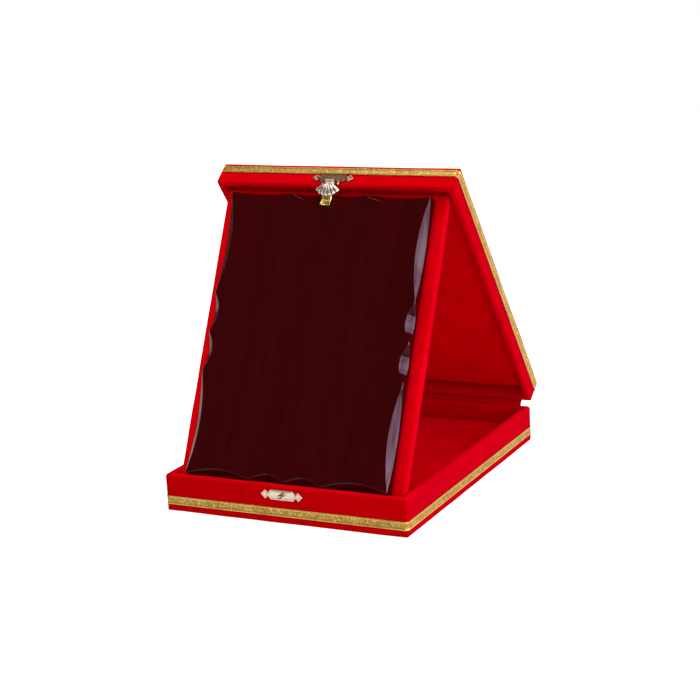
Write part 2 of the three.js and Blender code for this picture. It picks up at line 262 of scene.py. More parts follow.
def grouped(name, group, given, **sockets):
    """A material whose colour, roughness and normal come out of a group."""
    material, tree, shader = blank(name, **sockets)
    node = wired(tree, "ShaderNodeGroup", node_tree=group)
    for socket, value in given.items():
        node.inputs[socket].default_value = value
    fed(tree, shader, node.outputs["Colour"], node.outputs["Roughness"], node.outputs["Normal"])
    return material


def velvet_material(name, colour, deep, brushed, sheen, sheen_blue=0.2):
    return grouped(
        name,
        PILE,
        {"Colour": (*colour, 1), "Deep": (*deep, 1), "Brushed": brushed, "Tufts": 0.6},
        Specular_IOR_Level=0.0,
        Sheen_Weight=sheen,
        Sheen_Roughness=0.35,
        Sheen_Tint=(1.0, 0.0, sheen_blue, 1),
    )


def braid_material():
    """Gilt thread: bright on the raised threads and brown in the grooves, the brown being painted shade,
    with painted glints here and there.
    """
    material, tree, shader = blank("gilt_braid", Metallic=0.7, Specular_IOR_Level=0.3)
    raised = wired(tree, "ShaderNodeAttribute", attribute_name="raised").outputs["Fac"]
    edge = wired(tree, "ShaderNodeAttribute", attribute_name="edge_cord").outputs["Fac"]
    place = own_place(tree)
    worn = noise_of(tree, place, 75, 4, 0.6)
    glints = noise_of(tree, place, 620, 3, 0.7, 0.4)
    thread = noise_of(tree, place, 3200, 2, 0.5)
    # Darker where the threads dip, in the grooves and down the edge cords' sides: painted shade.
    middle = mixed(tree, raised, (0.3, 0.17, 0.02, 1), (0.76, 0.51, 0.09, 1))
    cord = mixed(tree, raised, (0.6, 0.3, 0.05, 1), (1.0, 0.72, 0.2, 1))
    gilt = mixed(tree, edge, middle, cord)
    faded = mixed(tree, spread(tree, worn, 0.45, 0.7, 0.0, 0.5), gilt, (0.26, 0.15, 0.03, 1))
    # Painted glints: bright spots laid into the colour by noise.
    lit = mixed(tree, spread(tree, glints, 0.5, 0.66), faded, (1.0, 0.74, 0.22, 1))
    rough = added(tree, times(tree, raised, -0.22), 0.5)
    rough = added(tree, rough, swing(tree, thread, -0.06, 0.06))
    knots = bumped(tree, glints, 0.5, 0.0003)
    fed(tree, shader, lit, rough, bumped(tree, thread, 0.35, 0.00008, knots))
    return material


def lacquer_material():
    """Dark cherry under a deep gloss coat, with the grain just showing and a few fine rubs."""
    sockets = {"Specular_IOR_Level": 0.0, "Coat_IOR": 1.35, "Coat_Roughness": 0.09}
    material, tree, shader = blank("cherry_lacquer", Coat_Tint=(0.95, 0.8, 1.0, 1), **sockets)
    place = own_place(tree)
    laid = stretched(tree, place, (1, 0.07, 0.07))
    figure = noise_of(tree, laid, 90, 4, 0.6, 1.2)
    pores = noise_of(tree, laid, 900, 3, 0.6)
    rubs = noise_of(tree, place, 45, 4, 0.6)
    grain = added(tree, times(tree, figure, 0.7), times(tree, pores, 0.3))
    wood = mixed(tree, swing(tree, grain, 0.0, 1.0), (0.038, 0.0, 0.0006, 1), (0.056, 0.0002, 0.0014, 1))
    fed(tree, shader, wood, swing(tree, rubs, 0.16, 0.3), bumped(tree, rubs, 0.05, 0.0002))
    brushed = noise_of(tree, laid, 500, 3, 0.7, 0.5)
    tree.links.new(swing(tree, brushed, 0.35, 1.0), shader.inputs["Coat Weight"])
    return material


def board_material():
    """Brown fibreboard with pale fibres."""
    material, tree, shader = blank("fibreboard", Specular_IOR_Level=0.2)
    place = own_place(tree)
    fibres = noise_of(tree, place, 700, 6, 0.7, 1.5)
    stain = noise_of(tree, place, 30, 3, 0.5)
    brown = mixed(tree, fibres, (0.2, 0.12, 0.06, 1), (0.5, 0.35, 0.2, 1))
    stained = mixed(tree, spread(tree, stain, 0.4, 0.8, 0, 0.3), brown, (0.22, 0.13, 0.07, 1))
    fed(tree, shader, stained, swing(tree, fibres, 0.75, 0.95), bumped(tree, fibres, 0.4, 0.0002))
    return material


def paper_material():
    """Dark red backing paper with a fine leather-like emboss."""
    material, tree, shader = blank("backing_paper", Specular_IOR_Level=0.35)
    place = own_place(tree)
    grain = cells_of(tree, place, 900)
    scuffs = noise_of(tree, place, 40, 5, 0.65)
    red = mixed(tree, spread(tree, scuffs, 0.35, 0.75), (0.16, 0.008, 0.016, 1), (0.27, 0.03, 0.035, 1))
    fed(tree, shader, red, swing(tree, scuffs, 0.5, 0.72), bumped(tree, grain, 0.35, 0.0002))
    return material


def tape_material():
    """White foam mounting tape."""
    material, tree, shader = blank("mounting_tape", Specular_IOR_Level=0.3)
    place = own_place(tree)
    cells = noise_of(tree, place, 1800, 3, 0.6)
    white = mixed(tree, cells, (0.66, 0.63, 0.55, 1), (0.84, 0.82, 0.75, 1))
    fed(tree, shader, white, swing(tree, cells, 0.65, 0.85), bumped(tree, cells, 0.4, 0.0002))
    return material


red_velvet = velvet_material("red_velvet", (0.79, 0.0, 0.003), (0.42, 0.0, 0.001), 0.28, 0.35)
lining_velvet = velvet_material("velvet_lining", (0.95, 0.0, 0.005), (0.56, 0.0, 0.002), 0.32, 0.3, 0.05)
# The box's red velvet painted lighter for the panel, as painted light on the panel's edges and front.
panel_red_painted_lighter = velvet_material("panel_red_painted_lighter", (0.95, 0.0, 0.006), (0.52, 0.0, 0.002), 0.28, 0.45)
gilt_braid = braid_material()
cherry_lacquer = lacquer_material()
fibreboard = board_material()
backing_paper = paper_material()
mounting_tape = tape_material()


def metal(name, bright, tarnish, amount, hollows, smooth):
    given = {"Bright": (*bright, 1), "Tarnish": (*tarnish, 1), "Amount": amount}
    given.update({"Hollows": hollows, "Smooth": smooth})
    return grouped(name, WEAR, given, Metallic=1.0)


old_gilt = metal("old_gilt", (1.0, 0.89, 0.7), (0.45, 0.26, 0.16), 0.45, 0.8, 0.22)
# Gilt for the catch plate's sunk field, and for the hasp plate's tips, where this lighter gilt is a painted
# highlight.
field_gilt_and_tip_highlight = metal("field_gilt_and_tip_highlight", (0.66, 0.45, 0.3), (0.16, 0.07, 0.03), 0.6, 1.0, 0.24)
shell_gilt = metal("shell_gilt", (1.0, 0.93, 0.78), (0.5, 0.3, 0.16), 0.1, 0.6, 0.34)
groove_brown = metal("groove_brown", (0.2, 0.09, 0.035), (0.06, 0.02, 0.008), 0.6, 1.0, 0.3)
# A darker copy of the gilt for the hasp plate's body: painted shade.
painted_shade_gilt = metal("painted_shade_gilt", (0.34, 0.2, 0.11), (0.08, 0.035, 0.012), 0.75, 1.0, 0.26)
bright_brass = metal("bright_brass", (1.0, 0.82, 0.22), (0.36, 0.2, 0.02), 0.4, 1.0, 0.24)
# The stud is painted dark, as the shade and dark reflection round it, and its middle pip is painted bright,
# as a highlight.
painted_shade_stud_brass = metal("painted_shade_stud_brass", (0.24, 0.1, 0.03), (0.04, 0.015, 0.006), 0.6, 1.0, 0.2)
painted_highlight_pip_brass = metal("painted_highlight_pip_brass", (1.0, 0.9, 0.7), (0.5, 0.35, 0.2), 0.3, 0.6, 0.25)


# ---------------- making pieces


def smooth_all_over(mesh):
    mesh.polygons.foreach_set("use_smooth", [True] * len(mesh.polygons))


def piece_from(bm, name, finish, place=BASE, merge=0.01 * MM):
    """The mesh moved to its place on the box, closed up, facing out and smooth."""
    bmesh.ops.remove_doubles(bm, verts=bm.verts, dist=merge)
    bmesh.ops.transform(bm, matrix=place, verts=bm.verts)
    bmesh.ops.recalc_face_normals(bm, faces=bm.faces)
    mesh = bpy.data.meshes.new(name)
    bm.to_mesh(mesh)
    bm.free()
    smooth_all_over(mesh)
    piece = bpy.data.objects.new(name, mesh)
    bpy.context.scene.collection.objects.link(piece)
    mesh.materials.append(finish)
    return piece


def on_the_box(piece, body, node):
    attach(piece, body)
    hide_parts(node)


def given_thickness(piece, thickness, offset=-1.0):
    cloth = piece.modifiers.new("cloth thickness", "SOLIDIFY")
    cloth.thickness = thickness
    cloth.offset = offset
    cloth.use_even_offset = False


def to_remesh(piece, voxel):
    remesh = piece.modifiers.new("one skin", "REMESH")
    remesh.mode = "VOXEL"
    remesh.voxel_size = voxel


def applied(piece):
    """The mesh that the piece's modifiers make. They are taken off it."""
    graph = bpy.context.evaluated_depsgraph_get()
    mesh = bpy.data.meshes.new_from_object(piece.evaluated_get(graph))
    piece.modifiers.clear()
    return mesh


def block(bm, low, high):
    """A block between two corners, added to the mesh."""
    verts = bmesh.ops.create_cube(bm, size=1)["verts"]
    low, high = Vector(low), Vector(high)
    bmesh.ops.scale(bm, vec=high - low, verts=verts)
    bmesh.ops.translate(bm, vec=(low + high) / 2, verts=verts)
    return verts


def rounded(bm, edges, radius, segments):
    bmesh.ops.bevel(
        bm,
        geom=edges,
        offset=radius,
        offset_type="OFFSET",
        segments=segments,
        profile=0.5,
        affect="EDGES",
        clamp_overlap=True,
        material=-1,
    )


def sliced(bm, axis, places):
    """Cuts the whole mesh with planes across an axis, so that long faces can bend."""
    normal = Vector((0, 0, 0))
    normal[axis] = 1
    for place in places:
        whole = bm.verts[:] + bm.edges[:] + bm.faces[:]
        bmesh.ops.bisect_plane(bm, geom=whole, plane_co=normal * place, plane_no=normal)


def evenly(low, high, step):
    count = max(1, round((high - low) / step))
    return [low + (high - low) * i / count for i in range(1, count)]


def softened(bm, amount, grain, seed):
    """Moves each point a little along its normal, as hand-wrapped cloth lies."""
    bm.normal_update()
    shift = Vector((seed, seed * 1.7, seed * 2.3))
    for vert in bm.verts:
        vert.co += vert.normal * amount * noise.noise(vert.co / grain + shift)


SQUARENESS = 6  # 2 leaves a corner round, and more draws it towards square


def crisper_corners(bm):
    """Pulls the rounded upright corners out towards square, as cloth drawn tight over a board."""
    for vert in bm.verts:
        from_x = abs(vert.co.x) - (HALF_W - RIM_R)
        from_y = abs(vert.co.y) - (HALF_D - RIM_R)
        if from_x > 0 and from_y > 0:
            angle = math.atan2(from_y, from_x)
            pull = (math.cos(angle) ** SQUARENESS + math.sin(angle) ** SQUARENESS) ** (-1 / SQUARENESS)
            vert.co.x += math.copysign(from_x * (pull - 1), vert.co.x)
            vert.co.y += math.copysign(from_y * (pull - 1), vert.co.y)


def facing(bm, way):
    """The face that looks most along a direction and lies furthest along it."""
    return max(bm.faces, key=lambda face: face.normal.dot(way) + face.calc_center_median().dot(way))


def lies_at(edge, height):
    return all(abs(vert.co.z - height) < NEAR for vert in edge.verts)


def is_square(edge):
    """Whether an edge runs along X, along Y or upright."""
    step = edge.verts[0].co - edge.verts[1].co
    return min(abs(step.x), abs(step.y)) < NEAR


# ---------------- velvet over the walls

CLOTH_STEP = 6 * MM  # how finely a cloth is cut across the box
CLOTH_STEP_UP = 3.5 * MM
PUCKER = 0.22 * MM
PUCKER_GRAIN = 28 * MM
BASE_FOOT = 0.3 * MM
BASE_WELL = 5 * MM
LID_WELL = 4.6 * MM


def velvet_walls(low, high, well, covered):
    """The cloth over four walls, rim up: outside, over the rim and down the inside.

    The far side is closed over when the half is covered there, or else turned under by a margin."""
    bm = bmesh.new()
    block(bm, (-HALF_W, -HALF_D, low), (HALF_W, HALF_D, high))
    bm.normal_update()
    top = facing(bm, Vector((0, 0, 1)))
    bmesh.ops.inset_region(bm, faces=[top], thickness=WALL, use_even_offset=True)
    dug = bmesh.ops.extrude_face_region(bm, geom=[top])["geom"]
    sunk = [part for part in dug if isinstance(part, bmesh.types.BMVert)]
    bmesh.ops.translate(bm, vec=(0, 0, well - high), verts=sunk)
    broad = [face for face in bm.faces if face.calc_area() > 0.5 * BOX_W * BOX_D]
    over_the_well = [face for face in broad if face.calc_center_median().z > low + 1 * MM]
    bmesh.ops.delete(bm, geom=over_the_well, context="FACES")
    if not covered:
        bottom = facing(bm, Vector((0, 0, -1)))
        bmesh.ops.inset_region(bm, faces=[bottom], thickness=TURN_UNDER, use_even_offset=True)
        bmesh.ops.delete(bm, geom=[bottom], context="FACES")
    rims = [e for e in bm.edges if lies_at(e, high) and is_square(e)]
    corners = [
        e
        for e in bm.edges
        if abs(e.verts[0].co.z - e.verts[1].co.z) > NEAR and abs(abs(e.verts[0].co.x) - HALF_W) < NEAR
    ]
    rounded(bm, rims + corners, RIM_R, 8)
    outer = [e for e in bm.edges if lies_at(e, low) and len(e.link_faces) == 2]
    rounded(bm, [e for e in outer if abs(e.calc_face_angle(0)) > 0.8], FOOT_R, 4)
    crisper_corners(bm)
    sliced(bm, 0, evenly(-HALF_W, HALF_W, CLOTH_STEP))
    sliced(bm, 1, evenly(-HALF_D, HALF_D, CLOTH_STEP))
    sliced(bm, 2, evenly(low, high, CLOTH_STEP_UP))
    return bm


base_walls = velvet_walls(BASE_FOOT, BASE_H, BASE_WELL, covered=False)
softened(base_walls, PUCKER, PUCKER_GRAIN, 3.1)
base_velvet = piece_from(base_walls, "base_velvet", red_velvet)
given_thickness(base_velvet, VELVET)
on_the_box(base_velvet, "base", "base_velvet_cover")

turned_over = LID @ Matrix.Translation((0, 0, LID_H)) @ Matrix.Rotation(math.pi, 4, "X")
lid_walls = velvet_walls(0, LID_H, LID_WELL, covered=True)
softened(lid_walls, PUCKER, PUCKER_GRAIN, 7.4)
lid_velvet = piece_from(lid_walls, "lid_velvet", red_velvet, turned_over)
given_thickness(lid_velvet, VELVET)
on_the_box(lid_velvet, "lid", "lid_velvet_cover")

# The panel's velvet, wrapped all round its board.
PANEL_HALF = 83.5 * MM
PANEL_L = 207.7 * MM
PANEL_T = 6.5 * MM
PANEL_EDGE_R = 1.6 * MM
panel_wrap = bmesh.new()
block(panel_wrap, (-PANEL_HALF, 0, 0), (PANEL_HALF, PANEL_L, PANEL_T))
rounded(panel_wrap, panel_wrap.edges[:], PANEL_EDGE_R, 5)
sliced(panel_wrap, 0, evenly(-PANEL_HALF, PANEL_HALF, CLOTH_STEP))
sliced(panel_wrap, 1, evenly(0, PANEL_L, CLOTH_STEP))
softened(panel_wrap, 0.2 * MM, 24 * MM, 1.6)
# The panel's velvet is painted lighter than the box's, as painted light.
panel_velvet = piece_from(panel_wrap, "panel_velvet", panel_red_painted_lighter, PANEL)
given_thickness(panel_velvet, VELVET)
on_the_box(panel_velvet, "panel", "panel_velvet_cover")


# ---------------- padded floor and lid lining

CLOTH_FRAMES = 20
VOXEL = 3.6 * MM
PAD_PRESSURE = 4
PAD_SLACK = 0.9 * MM  # room for the cover to swell into
PAD_EDGE_R = 2.4 * MM
PAD_CROWN = 0.45 * MM


def swollen(pad, most):
    """Lets the cover of a pad swell under a little pressure, and keeps how far each point may go."""
    scene = bpy.context.scene
    to_remesh(pad, VOXEL)
    even = applied(pad)
    pad.data = even
    rest = [vert.co.copy() for vert in even.vertices]
    cloth = pad.modifiers.new("swelling", "CLOTH")
    cloth.settings.use_pressure = True
    cloth.settings.uniform_pressure_force = PAD_PRESSURE
    cloth.settings.quality = 6
    cloth.settings.effector_weights.gravity = 0
    cloth.point_cache.frame_start = 1
    cloth.point_cache.frame_end = CLOTH_FRAMES
    for number in range(1, CLOTH_FRAMES + 1):
        scene.frame_set(number)
    blown = applied(pad)
    scene.frame_set(1)
    for vert, start, end in zip(even.vertices, rest, blown.vertices):
        push = end.co - start
        length = push.length
        if length > 0:
            vert.co = start + push * (most * math.tanh(length / most) / length)
    bpy.data.meshes.remove(blown)


WELL_X = HALF_W - WALL - PAD_GAP
WELL_Y = HALF_D - WALL - PAD_GAP


def pad_in_well(name, back, face, place):
    """A foam pad under velvet: rounded edges, a crowned face, flat where it lies on its board.

    It is made with its face at +Z, between z = back and z = face + PAD_CROWN."""
    bm = bmesh.new()
    low = (PAD_SLACK - WELL_X, PAD_SLACK - WELL_Y, back)
    block(bm, low, (WELL_X - PAD_SLACK, WELL_Y - PAD_SLACK, face - PAD_CROWN))
    upper = [e for e in bm.edges if min(v.co.z for v in e.verts) > (back + face) / 2]
    rounded(bm, upper, PAD_EDGE_R, 3)
    sliced(bm, 0, evenly(-WELL_X, WELL_X, CLOTH_STEP))
    sliced(bm, 1, evenly(-WELL_Y, WELL_Y, CLOTH_STEP))
    pad = piece_from(bm, name, lining_velvet)
    swollen(pad, 2 * PAD_CROWN)
    for vert in pad.data.vertices:
        up = max(0.0, (vert.co.z - back) / (face - back))
        bulge = (1 - (vert.co.x / WELL_X) ** 4) * (1 - (vert.co.y / WELL_Y) ** 4)
        vert.co.z += PAD_CROWN * up * bulge
        vert.co.x = min(WELL_X, max(-WELL_X, vert.co.x))
        vert.co.y = min(WELL_Y, max(-WELL_Y, vert.co.y))
        vert.co.z = min(face + PAD_CROWN, max(back, vert.co.z))
    pad.data.transform(place)
    pad.data.materials.clear()
    pad.data.materials.append(lining_velvet)
    smooth_all_over(pad.data)
    smoother = pad.modifiers.new("rounder", "SUBSURF")
    smoother.levels = 1
    smoother.render_levels = 1
    return pad


floor_low, floor_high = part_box("base_floor_pad")
floor_pad = pad_in_well("floor_cushion", floor_low.z, floor_high.z, BASE)
on_the_box(floor_pad, "base", "base_floor_pad")

LINING_FACE = LID_H - 5.3 * MM
LINING_BACK = 4.2 * MM
lid_pad = pad_in_well("lid_lining_cushion", LINING_BACK, LINING_FACE, turned_over)
on_the_box(lid_pad, "lid", "lid_lining_pad")


# ---------------- gilt braid

CORNER_R = 2.3 * MM
BRAID_OFF = 0.12 * MM
BRAID_STEP = 0.42 * MM
BRAID_BACK = 0.42 * MM
CORD_R = 0.5 * MM
CORD_FROM = 0.58  # share of the half width where the edge cord starts
TWIST_PITCH = 1.3 * MM
RIB_PITCH = 1.7 * MM
RIB_LIFT = 0.2 * MM
STRAND_LIFT = 0.06 * MM
BRAID_ROWS = 22  # across the band's front
BACK_HALF = 0.94  # the band's back is a little narrower
LID_BRAID = (10.2 * MM, 15.9 * MM)


def place_on_ring(share):
    """A point of the box's rounded outline, and the way out of it, at a share of the way round."""
    flat_x, flat_y = HALF_W - CORNER_R, HALF_D - CORNER_R
    bend = math.pi / 2 * CORNER_R
    far = share * (4 * flat_x + 4 * flat_y + 4 * bend)
    turn = 0
    for side in range(4):
        along = 2 * (flat_x if side % 2 == 0 else flat_y)
        middle = Vector((0, -HALF_D)) if side % 2 == 0 else Vector((0, -HALF_W))
        if far <= along:
            point = middle + Vector((far - along / 2, 0))
            out = Vector((0, -1))
            return rotated(point, turn), rotated(out, turn)
        far -= along
        if far <= bend:
            angle = far / CORNER_R
            out = Vector((math.sin(angle), -math.cos(angle)))
            centre = middle + Vector((along / 2, CORNER_R))
            return rotated(centre + out * CORNER_R, turn), rotated(out, turn)
        far -= bend
        turn += 1
    return Vector((-flat_x, -HALF_D)), Vector((0, -1))


def rotated(point, quarters):
    for _ in range(quarters):
        point = Vector((-point.y, point.x))
    return point


def thread_lift(far, across):
    """How far the braid's threads stand out, how bright they are, and whether they are an edge cord. The
    brightness falls where the threads dip, as painted shade.
    """
    if abs(across) > CORD_FROM:
        middle = (1 + CORD_FROM) / 2
        where = (abs(across) - middle) / (1 - middle)
        dome = math.sqrt(max(0.0, 1 - where * where))
        twist = 0.5 + 0.5 * math.cos(FULL_TURN * (far / TWIST_PITCH + 0.5 * where))
        return CORD_R * dome * (0.75 + 0.25 * twist), (0.4 + 0.6 * twist) * dome, 1.0
    lane = abs(across) / CORD_FROM
    rib = 0.5 + 0.5 * math.cos(FULL_TURN * (far / RIB_PITCH + 0.9 * lane))
    strand = math.cos(2 * FULL_TURN * lane)
    return RIB_LIFT * rib + STRAND_LIFT * strand, max(0.0, min(1.0, 0.8 * rib + 0.25 * strand)), 0.0


def braid_ring(name, low, high, place):
    """A woven band bent round the box, with a twisted cord along each edge."""
    middle, half = (low + high) / 2, (high - low) / 2
    rows = BRAID_ROWS + 3
    around = 4 * (HALF_W + HALF_D - 2 * CORNER_R) + FULL_TURN * CORNER_R
    steps = round(around / BRAID_STEP)
    bm = bmesh.new()
    bmesh.ops.create_grid(bm, x_segments=steps, y_segments=rows, size=1)
    raised = bm.verts.layers.float.new("raised")
    edge_cord = bm.verts.layers.float.new("edge_cord")
    columns = [place_on_ring((column % steps) / steps) for column in range(steps + 1)]
    for vert in bm.verts:
        column = round((vert.co.x + 1) / 2 * steps)
        row = round((vert.co.y + 1) / 2 * rows) % rows
        point, out = columns[column]
        if row > BRAID_ROWS:
            off = BRAID_OFF
            across = BACK_HALF if row == BRAID_ROWS + 1 else -BACK_HALF
        else:
            across = -1 + 2 * row / BRAID_ROWS
            lift, vert[raised], vert[edge_cord] = thread_lift((column % steps) * around / steps, across)
            off = BRAID_BACK + lift
        flat = point + out * off
        vert.co = Vector((flat.x, flat.y, middle + half * across))
    return piece_from(bm, name, gilt_braid, place, merge=FINE_MERGE)


base_braid_low, base_braid_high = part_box("base_braid")
base_braid = braid_ring("base_gilt_braid", base_braid_low.z, base_braid_high.z, BASE)
on_the_box(base_braid, "base", "base_braid")
lid_braid = braid_ring("lid_gilt_braid", *LID_BRAID, LID)
on_the_box(lid_braid, "lid", "lid_braid")


# ---------------- lacquered plaque

PLAQUE_W = 150 * MM
PLAQUE_L = 198 * MM
PLAQUE_T = 8.3 * MM
PLAQUE_FROM = 5.3 * MM
PLAQUE_UP = 7.4 * MM
SCOOP_DEPTH = 3.5 * MM
LONG_SCOOPS = [72, 27, 27, 72]
SHORT_SCOOPS = [48, 27, 27, 48]
SOFT_EDGE = 0.38 * MM
# The side below the cut and the soft arris at the back, as (inwards, down).
UNDER_EDGE = (
    (0.0, PLAQUE_T - SOFT_EDGE),
    (0.3 * SOFT_EDGE, PLAQUE_T - 0.3 * SOFT_EDGE),
    (SOFT_EDGE, PLAQUE_T),
)


def scoop_at(place, chords):
    """How far into the face the scoops reach, at a place along an edge measured from its middle."""
    start = -sum(chords) / 2 * MM
    for chord in chords:
        half = chord / 2 * MM
        middle = start + half
        if abs(place - middle) <= half + NEAR / 10:
            radius = (half * half + SCOOP_DEPTH * SCOOP_DEPTH) / (2 * SCOOP_DEPTH)
            across = place - middle
            depth = math.sqrt(max(0.0, radius * radius - across * across)) - (radius - SCOOP_DEPTH)
            return math.sqrt(2) * max(0.0, depth)
        start += 2 * half
    return 0.0


def edge_profile(scoop):
    """The edge from the face to the back as (inwards, down) pairs: a cut at 45 degrees with soft arrises."""
    cut = max(scoop, 1.5 * SOFT_EDGE)
    soft = 0.7 * SOFT_EDGE
    points = []
    for start, arris, end in (
        ((cut + SOFT_EDGE, 0, 0), (cut, 0, 0), (cut - soft, soft, 0)),
        ((soft, cut - soft, 0), (0, cut, 0), (0, cut + SOFT_EDGE, 0)),
    ):
        points += interpolate_bezier(Vector(start), Vector(arris), Vector(arris), Vector(end), 4)
    return [*((point.x, point.y) for point in points), *UNDER_EDGE]


def scooped_plaque():
    """The plaque, face up: a loop round its face, drawn out and down over the edge, capped at both ends."""
    bm = bmesh.new()
    half_w, half_l = PLAQUE_W / 2, PLAQUE_L / 2
    corners = ((-half_w, -half_l, 0), (half_w, -half_l, 0), (half_w, half_l, 0), (-half_w, half_l, 0))
    ring = [bm.verts.new(corner) for corner in corners]
    short_1, _, short_2, _ = (bm.edges.new((ring[i], ring[(i + 1) % 4])) for i in range(4))
    bmesh.ops.subdivide_edges(bm, edges=[short_1, short_2], cuts=99)
    long_sides = [e for e in bm.edges if abs(e.verts[0].co.y - e.verts[1].co.y) > half_l]
    bmesh.ops.subdivide_edges(bm, edges=long_sides, cuts=131)

    def edge_at(place):
        """The way inwards from a place on the outline, and the profile of the edge there."""
        on_x, on_y = abs(abs(place.x) - half_w) < NEAR, abs(abs(place.y) - half_l) < NEAR
        into_x = -math.copysign(1, place.x) if on_x else 0
        into_y = -math.copysign(1, place.y) if on_y else 0
        if on_x and on_y:
            scoop = 0.0
        else:
            scoop = scoop_at(place.y, LONG_SCOOPS) if on_x else scoop_at(place.x, SHORT_SCOOPS)
        return Vector((into_x, into_y, 0)), edge_profile(scoop)

    def drawn_on(edges, outline):
        """The next loop of the edge, drawn out of the last one."""
        made = bmesh.ops.extrude_edge_only(bm, edges=edges)["geom"]
        following = {}
        for vert in (part for part in made if isinstance(part, bmesh.types.BMVert)):
            parent = next(e.other_vert(vert) for e in vert.link_edges if e.other_vert(vert) in outline)
            following[vert] = outline[parent]
        loop = [part for part in made if isinstance(part, bmesh.types.BMEdge)]
        return [edge for edge in loop if all(vert in following for vert in edge.verts)], following

    edges, outline = bm.edges[:], {vert: vert.co.copy() for vert in bm.verts}
    top = edges
    for level in range(len(edge_profile(0))):
        if level > 0:
            edges, outline = drawn_on(edges, outline)
        for vert, place in outline.items():
            pull, profile = edge_at(place)
            into, down = profile[level]
            vert.co = place + pull * into - Vector((0, 0, down))
    bmesh.ops.contextual_create(bm, geom=top)
    bmesh.ops.contextual_create(bm, geom=edges)
    bmesh.ops.translate(bm, vec=(0, PLAQUE_FROM + half_l, PLAQUE_UP + PLAQUE_T), verts=bm.verts)
    return bm


plaque = piece_from(scooped_plaque(), "lacquered_plaque", cherry_lacquer, PANEL, merge=FINE_MERGE)
on_the_box(plaque, "panel", "plaque")


# ---------------- hasp and catch

FACE = -HALF_D - 0.2 * MM
METAL = 0.7 * MM
CATCH_Z = 20 * MM
PLATE_Z = 6 * MM
NAIL_X = 6.6 * MM
CAST_VOXEL = 0.14 * MM
PIP_R = 0.62 * MM  # the pip in the middle of the stud, painted bright as a highlight
UPRIGHT = Matrix.Rotation(math.pi / 2, 4, "X")  # turns +Z to face the front


def turned(profile, at, sides=24):
    """A small turned shape, from (radius, out) pairs in mm, standing out of the front face at a point."""
    bm = bmesh.new()
    verts = [bm.verts.new((radius * MM, 0, out * MM)) for radius, out in profile]
    edges = [bm.edges.new(pair) for pair in zip(verts, verts[1:])]
    round_it = {"cent": (0, 0, 0), "axis": (0, 0, 1), "angle": FULL_TURN}
    bmesh.ops.spin(bm, geom=verts + edges, steps=sides, use_merge=True, **round_it)
    bmesh.ops.transform(bm, matrix=Matrix.Translation(at) @ UPRIGHT, verts=bm.verts)
    return bm


def bar(bm, radius, low, high, at, segments=20):
    """A round bar along X, centred on a point across."""
    made = bmesh.ops.create_cone(
        bm, cap_ends=True, segments=segments, radius1=radius, radius2=radius, depth=high - low
    )
    move = Matrix.Translation(((low + high) / 2, at[0], at[1])) @ Matrix.Rotation(math.pi / 2, 4, "Y")
    bmesh.ops.transform(bm, matrix=move, verts=made["verts"])


def ring_part(bm, centre, radius, tube, start, sweep, place, steps=18):
    """Part of a ring of round wire, lying in the plane that faces the front."""
    verts = bmesh.ops.create_circle(bm, cap_ends=True, segments=10, radius=tube)["verts"]
    bmesh.ops.rotate(bm, cent=(0, 0, 0), matrix=Matrix.Rotation(math.pi / 2, 3, "X"), verts=verts)
    bmesh.ops.translate(bm, vec=(radius, 0, 0), verts=verts)
    bmesh.ops.rotate(bm, cent=(0, 0, 0), matrix=Matrix.Rotation(start, 3, "Z"), verts=verts)
    faces = list({face for vert in verts for face in vert.link_faces})
    spun = bmesh.ops.spin(
        bm, geom=faces, cent=(0, 0, 0), axis=(0, 0, 1), angle=sweep, steps=steps, use_duplicate=False
    )
    fresh = {*verts, *(part for part in spun["geom_last"] if isinstance(part, bmesh.types.BMVert))}
    reached = set(fresh)
    while fresh:
        fresh = {v for vert in fresh for e in vert.link_edges for v in e.verts} - reached
        reached |= fresh
    bmesh.ops.transform(bm, matrix=place @ Matrix.Translation(centre), verts=list(reached))


# The plate's outline, right half, and the steps of its relief as (inwards, out), all in mm.
HALF_OUTLINE = ((8.2, 3.4), (10.4, 1.1), (12.3, 3.2), (15.5, 0), (12.3, -3.2), (10.4, -1.1), (8.2, -3.4))
RELIEF = ((0.62, 0), (0.22, -0.5), (0.5, 0.16))
BORDER_UP = 0.25 * MM
BED = METAL * 0.8  # where the relief on the field starts
WIRE_R = 0.26 * MM


def plate_form(bm, place):
    """The stamped plate that the hasp and the catch share: a raised border round a sunk field."""
    around = [*HALF_OUTLINE, *((-x, -z) for x, z in HALF_OUTLINE)]
    back = bm.faces.new([bm.verts.new((x * MM, z * MM, 0)) for x, z in around])
    raised = bmesh.ops.extrude_face_region(bm, geom=[back], use_keep_orig=True)["geom"]
    upper = [part for part in raised if isinstance(part, bmesh.types.BMVert)]
    field = next(part for part in raised if isinstance(part, bmesh.types.BMFace))
    bmesh.ops.translate(bm, vec=(0, 0, METAL + BORDER_UP), verts=upper)
    for into, out in RELIEF:
        bmesh.ops.inset_region(bm, faces=[field], thickness=into * MM, depth=out * MM, use_even_offset=True)
    bmesh.ops.transform(bm, matrix=place, verts=bm.verts)


def scrolls(bm, side, out, apart, place):
    """Two hooked scrolls and an eye in relief on one side of a plate."""
    for turn in (-1, 1):
        centre = (side * out, turn * apart, BED)
        ring_part(bm, centre, 0.85 * MM, WIRE_R, turn * 0.6, turn * 4.2, place, steps=14)
    ring_part(bm, (side * 12.4 * MM, 0, BED), 0.75 * MM, WIRE_R, 0, FULL_TURN, place)


def cast(piece):
    """Runs the parts of a cast piece into one closed skin with soft corners."""
    to_remesh(piece, CAST_VOXEL)
    smooth = piece.modifiers.new("cast softness", "SMOOTH")
    smooth.factor = 0.5
    smooth.iterations = 2
    piece.data = applied(piece)
    smooth_all_over(piece.data)
    return piece


def second_finish(piece, finish, chosen, place=BASE):
    """Gives another finish to the faces whose middle, seen from the piece's own place, is chosen."""
    piece.data.materials.append(finish)
    back = place.inverted()
    for face in piece.data.polygons:
        if chosen(back @ face.center):
            face.material_index = 1


def in_the_field(at):
    """On the sunk field of a stamped plate, below its rubbed border."""
    return at.y > FACE - METAL - 0.12 * MM


